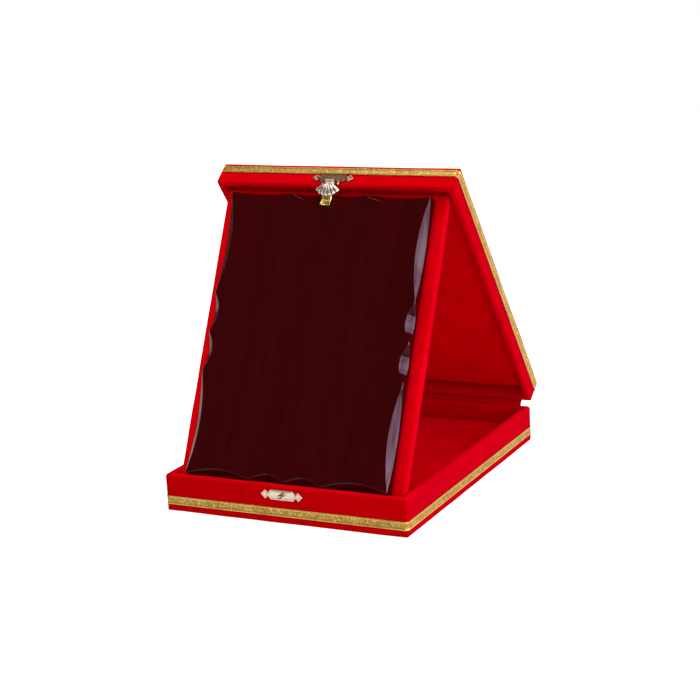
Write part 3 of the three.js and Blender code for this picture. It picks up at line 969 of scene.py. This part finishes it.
def catch_plate_form():
    bm = bmesh.new()
    place = Matrix.Translation((0, FACE, CATCH_Z)) @ UPRIGHT
    plate_form(bm, place)
    ring_part(bm, (0, 0, BED), 2.15 * MM, 0.3 * MM, 0, FULL_TURN, place, steps=32)
    for across in (-3.1 * MM, 3.1 * MM):
        bead = block(bm, (across - 0.3 * MM, -2.1 * MM, BED), (across + 0.3 * MM, 2.1 * MM, BED + 0.4 * MM))
        bmesh.ops.transform(bm, matrix=place, verts=bead)
    for side in (-1, 1):
        scrolls(bm, side, 4.1 * MM, 0.95 * MM, place)
    return bm


KNUCKLE_R = 1.2 * MM
KNUCKLE_FROM = 3.5 * MM
KNUCKLE_TO = 6 * MM
PIN_R = 0.55 * MM
PIN_HALF = 6.5 * MM


def hasp_plate_form():
    bm = bmesh.new()
    place = Matrix.Translation((0, FACE, PLATE_Z)) @ UPRIGHT
    plate_form(bm, place)
    for side in (-1, 1):
        scrolls(bm, side, 3.4 * MM, 1 * MM, place)
        near, far = sorted((side * KNUCKLE_FROM, side * KNUCKLE_TO))
        bar(bm, KNUCKLE_R, near, far, (-HALF_D - PIN_OUT, PIN_UP))
        block(bm, (near, FACE - 2.6 * MM, PIN_UP + 0.2 * MM), (far, FACE - 0.3 * MM, PIN_UP + 1.7 * MM))
    return bm


SHELL_RIBS = 7
SHELL_Z = -1 * MM  # below the pin, where the ribs fan out from
SHELL_ROOT = 1.4 * MM
SHELL_REACH = 9.6 * MM
SHELL_SPREAD = math.radians(112)
SHELL_SKIN = 0.5 * MM
SHELL_DOME = 1.3 * MM
RIB_SWELL = 0.85 * MM
RIB_UP = 0.8 * MM
ROLLED_FROM = 0.88  # share of a rib's length where its end starts to round over


def shell_form():
    """The shell: ribs that fan out from the pin, domed over the tongue, with a scroll at each shoulder."""
    bm = bmesh.new()
    made = bmesh.ops.create_grid(bm, x_segments=SHELL_RIBS * 9, y_segments=30, size=1)
    for vert in made["verts"]:
        across, along = (vert.co.x + 1) / 2, (vert.co.y + 1) / 2
        in_rib = 2 * ((across * SHELL_RIBS + NEAR) % 1.0) - 1
        ridge = math.sqrt(max(0.0, 1 - in_rib * in_rib))
        angle = -math.pi / 2 + SHELL_SPREAD * (across - 0.5)
        radius = SHELL_ROOT + (SHELL_REACH + RIB_SWELL * ridge - SHELL_ROOT) * along
        rolled = math.sqrt(max(0.0, 1 - (max(0.0, along - ROLLED_FROM) / (1 - ROLLED_FROM)) ** 2))
        side = 1 - 0.6 * abs(2 * across - 1) ** 3
        dome = SHELL_DOME * math.sin(math.pi * min(1.0, along * 0.86 + 0.1)) * side
        ribs = RIB_UP * ridge * min(1.0, along * 1.6)
        out = 0.2 * MM + rolled * (dome + ribs)
        vert.co = Vector((radius * math.cos(angle), -out, SHELL_Z + radius * math.sin(angle)))
    bm.normal_update()
    bmesh.ops.solidify(bm, geom=bm.faces[:], thickness=SHELL_SKIN)
    block(bm, (-3 * MM, -0.7 * MM, -3.4 * MM), (3 * MM, 0.5 * MM, -0.4 * MM))
    bar(bm, KNUCKLE_R, -3.2 * MM, 3.2 * MM, (0, 0))
    for side in (-1, 1):
        start = math.radians(215) if side > 0 else math.radians(-35)
        shoulder = (side * 4.4 * MM, -1.2 * MM, -1.1 * MM)
        ring_part(bm, shoulder, 1.5 * MM, 0.52 * MM, start, -side * math.radians(250), UPRIGHT, steps=20)
    return bm


GROOVE_FROM = 2.6 * MM  # from the point that the ribs fan out from
GROOVE_SHARE = 0.68  # how far out from a rib's ridge its groove starts


def in_a_groove(at):
    """Between two of the shell's ribs, on its front."""
    away = Vector((at.x, at.z - SHELL_Z))
    across = math.atan2(away.x, -away.y) / SHELL_SPREAD + 0.5
    if not 0 < across < 1 or away.length < GROOVE_FROM or at.y > -0.7 * MM:
        return False
    return abs(2 * ((across * SHELL_RIBS) % 1.0) - 1) > GROOVE_SHARE


TONGUE_HALF = 3.6 * MM
TONGUE_TOP = -5.8 * MM
TONGUE_END = -18 * MM
TONGUE_BACK = -0.8 * MM  # behind the pin
STUD_HOLE_AT = -8.4 * MM
STUD_HOLE_R = 2 * MM
TONGUE_FOOT = 2 * STUD_HOLE_AT - TONGUE_TOP  # where the square round the hole ends
TONGUE_CORNERS = (
    (-TONGUE_HALF, TONGUE_FOOT),
    (TONGUE_HALF, TONGUE_FOOT),
    (TONGUE_HALF, TONGUE_TOP),
    (-TONGUE_HALF, TONGUE_TOP),
)


def tongue_form():
    """The flat brass tongue: a hole for the stud, a rolled border and two small dimples."""
    bm = bmesh.new()
    bmesh.ops.create_circle(bm, segments=32, radius=STUD_HOLE_R)
    bmesh.ops.translate(bm, vec=(0, STUD_HOLE_AT, 0), verts=bm.verts[:])
    ring = [bm.verts.new((x, y, 0)) for x, y in TONGUE_CORNERS]
    sides = [bm.edges.new((ring[i], ring[(i + 1) % 4])) for i in range(4)]
    bmesh.ops.subdivide_edges(bm, edges=sides, cuts=7)
    bmesh.ops.bridge_loops(bm, edges=bm.edges[:])
    lower = [vert for vert in bm.verts if abs(vert.co.y - TONGUE_FOOT) < NEAR / 10]
    lower.sort(key=lambda vert: vert.co.x)
    ends = [bm.verts.new((x, TONGUE_END, 0)) for x in (TONGUE_HALF, -TONGUE_HALF)]
    blade = bm.faces.new([*lower, *ends])
    bmesh.ops.recalc_face_normals(bm, faces=bm.faces[:])
    if blade.normal.z < 0:
        bmesh.ops.reverse_faces(bm, faces=bm.faces[:])
    bmesh.ops.solidify(bm, geom=bm.faces[:], thickness=METAL)
    bm.normal_update()
    front_at = max(vert.co.z for vert in bm.verts)
    bmesh.ops.translate(bm, vec=(0, 0, TONGUE_BACK - front_at), verts=bm.verts)
    below = [face for face in bm.faces if face.calc_center_median().y < TONGUE_FOOT]
    raised = [face for face in below if face.normal.z > 0.5 and face.calc_area() > 20 * MM * MM]
    bmesh.ops.inset_region(bm, faces=raised, thickness=0.7 * MM, use_even_offset=True)
    bmesh.ops.inset_region(bm, faces=raised, thickness=0.25 * MM, depth=-0.3 * MM, use_even_offset=True)
    for across in (-1.2 * MM, 1.4 * MM):
        dimple = (across, 0.5 * (TONGUE_FOOT + TONGUE_END), TONGUE_BACK - 0.25 * MM)
        ring_part(bm, dimple, 0.75 * MM, WIRE_R, 0, FULL_TURN, BASE)
    bmesh.ops.transform(bm, matrix=UPRIGHT, verts=bm.verts)
    return bm


# Half sections of the turned pieces, as (radius, out) in mm.
NAIL_SECTION = (
    (0, -0.35), (0.45, -0.35), (0.45, 0.55), (0.95, 0.6),
    (1.0, 0.72), (0.86, 0.98), (0.5, 1.18), (0, 1.26),
)
STUD_SECTION = (
    (0, 0), (0.9, 0), (0.9, 1.4), (1.35, 1.75), (1.5, 2.0), (1.5, 2.3), (1.3, 2.5),
    (0.95, 2.35), (0.72, 2.35), (0.6, 2.7), (0.35, 2.95), (0, 3.0),
)


def nail_at(name, x, z, place, body, node):
    nail = piece_from(turned(NAIL_SECTION, (x, FACE, z)), name, bright_brass, place)
    on_the_box(nail, body, node)


catch = cast(piece_from(catch_plate_form(), "catch_scroll_plate", old_gilt))
second_finish(catch, field_gilt_and_tip_highlight, in_the_field)
on_the_box(catch, "base", "catch_plate")
# The hasp plate's body is painted darker as shade, and its tips are painted lighter as highlights.
plate = cast(piece_from(hasp_plate_form(), "hasp_scroll_plate", painted_shade_gilt, LID))
second_finish(plate, field_gilt_and_tip_highlight, lambda at: abs(at.x) > 11 * MM and not in_the_field(at), LID)
on_the_box(plate, "lid", "hasp_plate")
shell = cast(piece_from(shell_form(), "hasp_ribbed_shell", shell_gilt, HASP))
second_finish(shell, groove_brown, in_a_groove, HASP)
on_the_box(shell, "hasp", "hasp_shell")
tongue = piece_from(tongue_form(), "hasp_brass_tongue", bright_brass, HASP)
on_the_box(tongue, "hasp", "hasp_tongue")
for side, number in (("left", -1), ("right", 1)):
    nail_at(f"catch_dome_nail_{side}", number * NAIL_X, CATCH_Z, BASE, "base", f"catch_nail_{side}")
    nail_at(f"hasp_dome_nail_{side}", number * NAIL_X, PLATE_Z, LID, "lid", f"hasp_nail_{side}")

stud_form = turned(STUD_SECTION, (0, FACE - 1 * MM, CATCH_Z), 32)
# The stud's dark colour is painted shade and dark reflection; the bright pip in its middle is a painted
# highlight.
stud = piece_from(stud_form, "catch_turned_stud", painted_shade_stud_brass)
second_finish(stud, painted_highlight_pip_brass, lambda at: math.hypot(at.x, at.z - CATCH_Z) < PIP_R)
on_the_box(stud, "base", "catch_stud")

pin_bm = bmesh.new()
bar(pin_bm, PIN_R, -PIN_HALF, PIN_HALF, (-HALF_D - PIN_OUT, PIN_UP), 18)
rounded(pin_bm, [e for e in pin_bm.edges if e.calc_face_angle(0) > 1], 0.2 * MM, 3)
pin = piece_from(pin_bm, "hasp_hinge_pin", bright_brass, LID)
on_the_box(pin, "lid", "hasp_pin")


# ---------------- cloth hinges

HINGE_STEP = 4 * MM
HINGE_WAVE = 0.12 * MM
HINGE_TRIM = 1.2 * MM


def hinge_strip(name, half_width, path, finish):
    """A strip of velvet bent along a path in Y and Z, with its ends cut a little round."""
    bm = bmesh.new()
    rows = len(path) - 1
    columns = round(2 * half_width / HINGE_STEP)
    bmesh.ops.create_grid(bm, x_segments=columns, y_segments=rows, size=1)
    for vert in bm.verts:
        row = round((vert.co.y + 1) / 2 * rows)
        point = path[row]
        wave = noise.noise(Vector((vert.co.x * 9, row * 0.4, 2.2))) * HINGE_WAVE
        trim = HINGE_TRIM * (abs(2 * row / rows - 1) ** 6)
        vert.co = Vector((vert.co.x * (half_width - trim), point.y, point.z + wave))
    return piece_from(bm, name, finish)


def straight(first, last, steps):
    return [first.lerp(last, i / steps) for i in range(steps)]


def round_the_fold(first, other, first_steps, bend, bend_steps):
    """The middle line of a hinge's cloth, along both leaves and round the bend, and its length."""
    (start, fold_start), (fold_end, end) = first, other
    out = (fold_start - start).normalized() * bend
    back = (end - fold_end).normalized() * bend
    fold = interpolate_bezier(fold_start, fold_start + out, fold_end - back, fold_end, bend_steps)
    path = [*straight(start, fold_start, first_steps), *fold, *straight(fold_end, end, 4)[1:], end]
    return path, round(sum((b - a).length for a, b in zip(path, path[1:])), 4)


LINE = 0.6 * MM  # middle of the hinge cloth behind a wall
REAR_HALF = 81.5 * MM
base_leaf = (Vector((0, HALF_D + LINE, 12.2 * MM)), Vector((0, HALF_D + LINE, 23.6 * MM)))
lid_leaf = (LID @ Vector((0, HALF_D + LINE, 2.8 * MM)), LID @ Vector((0, HALF_D + LINE, 8.4 * MM)))
rear_path, rear_length = round_the_fold(base_leaf, lid_leaf, 6, 2.6 * MM, 13)
rear_hinge = hinge_strip("rear_hinge_velvet", REAR_HALF, rear_path, red_velvet)
given_thickness(rear_hinge, VELVET, 0.0)
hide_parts("rear_hinge_cloth_base", "rear_hinge_cloth_lid")
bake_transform(rear_hinge)

FRONT_HALF = 75 * MM
floor_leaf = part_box("panel_hinge_cloth_floor")
floor_z = (floor_leaf[0].z + floor_leaf[1].z) / 2 + 0.25 * MM
foot_leaf = (Vector((0, floor_leaf[0].y, floor_z)), Vector((0, floor_leaf[1].y + 0.5 * MM, floor_z)))
end_leaf = (PANEL @ Vector((0, -0.5 * MM, 1.3 * MM)), PANEL @ Vector((0, -0.5 * MM, 6.1 * MM)))
front_path, front_length = round_the_fold(foot_leaf, end_leaf, 5, 0.7 * MM, 9)
panel_hinge = hinge_strip("panel_hinge_velvet", FRONT_HALF, front_path, lining_velvet)
given_thickness(panel_hinge, 0.4 * MM, 0.0)
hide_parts("panel_hinge_cloth_floor", "panel_hinge_cloth_end")
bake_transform(panel_hinge)


# ---------------- finishes of the hidden pieces

walls = [f"{half}_{side}_wall" for half in ("base", "lid") for side in ("front", "rear", "left", "right")]
tapes = [f"plaque_tape_{end}_{side}" for end in ("lower", "upper") for side in ("left", "right")]
boards = ["base_bottom_board", "lid_top_board", "panel_board"]
for finish, names in (
    (fibreboard, walls + boards),
    (backing_paper, ["base_underside_sheet"]),
    (mounting_tape, tapes),
):
    for node in names:
        piece = frame["nodes"][node]
        if not piece.material_slots:
            piece.data.materials.append(finish)
        for material_slot in piece.material_slots:
            material_slot.material = finish


# ---------------- studio

FLOOR_R = 1.9
FLOOR_SEEN = 0.9  # how much the floor is lifted where it is seen, and where it is mirrored
FLOOR_MIRRORED = 0.3
floor_bm = bmesh.new()
bmesh.ops.create_circle(floor_bm, cap_ends=True, segments=96, radius=FLOOR_R)
pale, pale_tree, pale_shader = blank("pale_floor", Roughness=0.9, Specular_IOR_Level=0.1)
pale_shader.inputs["Base Color"].default_value = (0.68, 0.68, 0.68, 1)
floor_rays = pale_tree.nodes.new("ShaderNodeLightPath").outputs
seen = times(pale_tree, floor_rays["Is Camera Ray"], FLOOR_SEEN)
mirrored = times(pale_tree, floor_rays["Is Glossy Ray"], FLOOR_MIRRORED)
lift = added(pale_tree, seen, mirrored)
floor_glow = wired(pale_tree, "ShaderNodeEmission", {"Color": (1, 1, 1, 1), "Strength": lift}).outputs[0]
lifted = wired(pale_tree, "ShaderNodeAddShader", {0: pale_shader.outputs[0], 1: floor_glow}).outputs[0]
pale_tree.links.new(lifted, pale_tree.nodes["Material Output"].inputs["Surface"])
studio_floor = piece_from(floor_bm, "studio_floor", pale)


def soft_light(name, at, towards, size, power, colour=(1, 1, 1), only_gloss=False):
    lamp = bpy.data.lights.new(name, "AREA")
    lamp.shape = "RECTANGLE"
    lamp.size, lamp.size_y = size
    lamp.energy = power
    lamp.color = colour
    holder = bpy.data.objects.new(name, lamp)
    bpy.context.scene.collection.objects.link(holder)
    holder.location = at
    holder.rotation_mode = "QUATERNION"
    holder.rotation_quaternion = (Vector(towards) - Vector(at)).to_track_quat("-Z", "Y")
    holder.visible_diffuse = not only_gloss


MIDDLE = (0, 0, 0.1)
soft_light("right softbox", (1.6, -0.1, 0.42), MIDDLE, (0.95, 1.0), 8.2, (1, 0.97, 1))
soft_light("right front softbox", (1.3, -1.1, 0.5), MIDDLE, (0.9, 0.9), 1.5)
soft_light("right rear softbox", (1.2, 1.2, 0.7), MIDDLE, (0.9, 0.9), 3.2)
soft_light("top softbox", (0, 0, 1.8), MIDDLE, (0.9, 0.9), 14.9)
LILAC = (0.95, 0.66, 1.0)
soft_light("right gloss panel", (1.5, -0.55, 0.7), (0.07, 0, 0.1), (1.3, 1.1), 34, LILAC, only_gloss=True)
WARM = (1, 0.97, 0.9)
soft_light("left glint", (-1.5, -0.35, 0.65), (0, -0.02, 0.2), (0.35, 0.35), 3, WARM, only_gloss=True)

world = bpy.data.worlds.new("studio air")
bpy.context.scene.world = world
world.use_nodes = True
air = world.node_tree
air.nodes.clear()
rays = air.nodes.new("ShaderNodeLightPath").outputs
white_light = (1, 1, 1, 1)
dim = wired(air, "ShaderNodeBackground", {"Color": white_light, "Strength": 0.56}).outputs[0]
dark = wired(air, "ShaderNodeBackground", {"Color": (1, 0.93, 0.9, 1), "Strength": 0.1}).outputs[0]
white = wired(air, "ShaderNodeBackground", {"Color": white_light, "Strength": 1.0}).outputs[0]
glossy = wired(air, "ShaderNodeMixShader", {0: rays["Is Glossy Ray"], 1: dim, 2: dark}).outputs[0]
seen_white = wired(air, "ShaderNodeMixShader", {0: rays["Is Camera Ray"], 1: glossy, 2: white}).outputs[0]
sky = air.nodes.new("ShaderNodeOutputWorld")
air.links.new(seen_white, sky.inputs["Surface"])

CAMERA_AT = (0.5370, -1.0813, 0.3859)
FOCAL_LENGTH = 90.93
YAW, PITCH, ROLL = math.radians(26.48), math.radians(13.73), math.radians(-2.81)
look = Vector((-math.sin(YAW) * math.cos(PITCH), math.cos(YAW) * math.cos(PITCH), -math.sin(PITCH)))
level_right = Vector((math.cos(YAW), math.sin(YAW), 0))
level_up = level_right.cross(look)
right = math.cos(ROLL) * level_right + math.sin(ROLL) * level_up
up = math.cos(ROLL) * level_up - math.sin(ROLL) * level_right
lens = bpy.data.cameras.new("studio camera")
lens.sensor_width = 36
lens.lens = FOCAL_LENGTH
lens.clip_start = 0.01
lens.clip_end = 100
camera = bpy.data.objects.new("studio camera", lens)
bpy.context.scene.collection.objects.link(camera)
facing_the_box = Matrix((right, up, -look)).transposed().to_4x4()
camera.matrix_world = Matrix.Translation(CAMERA_AT) @ facing_the_box
bpy.context.scene.camera = camera
bpy.context.scene.view_settings.view_transform = "Standard"
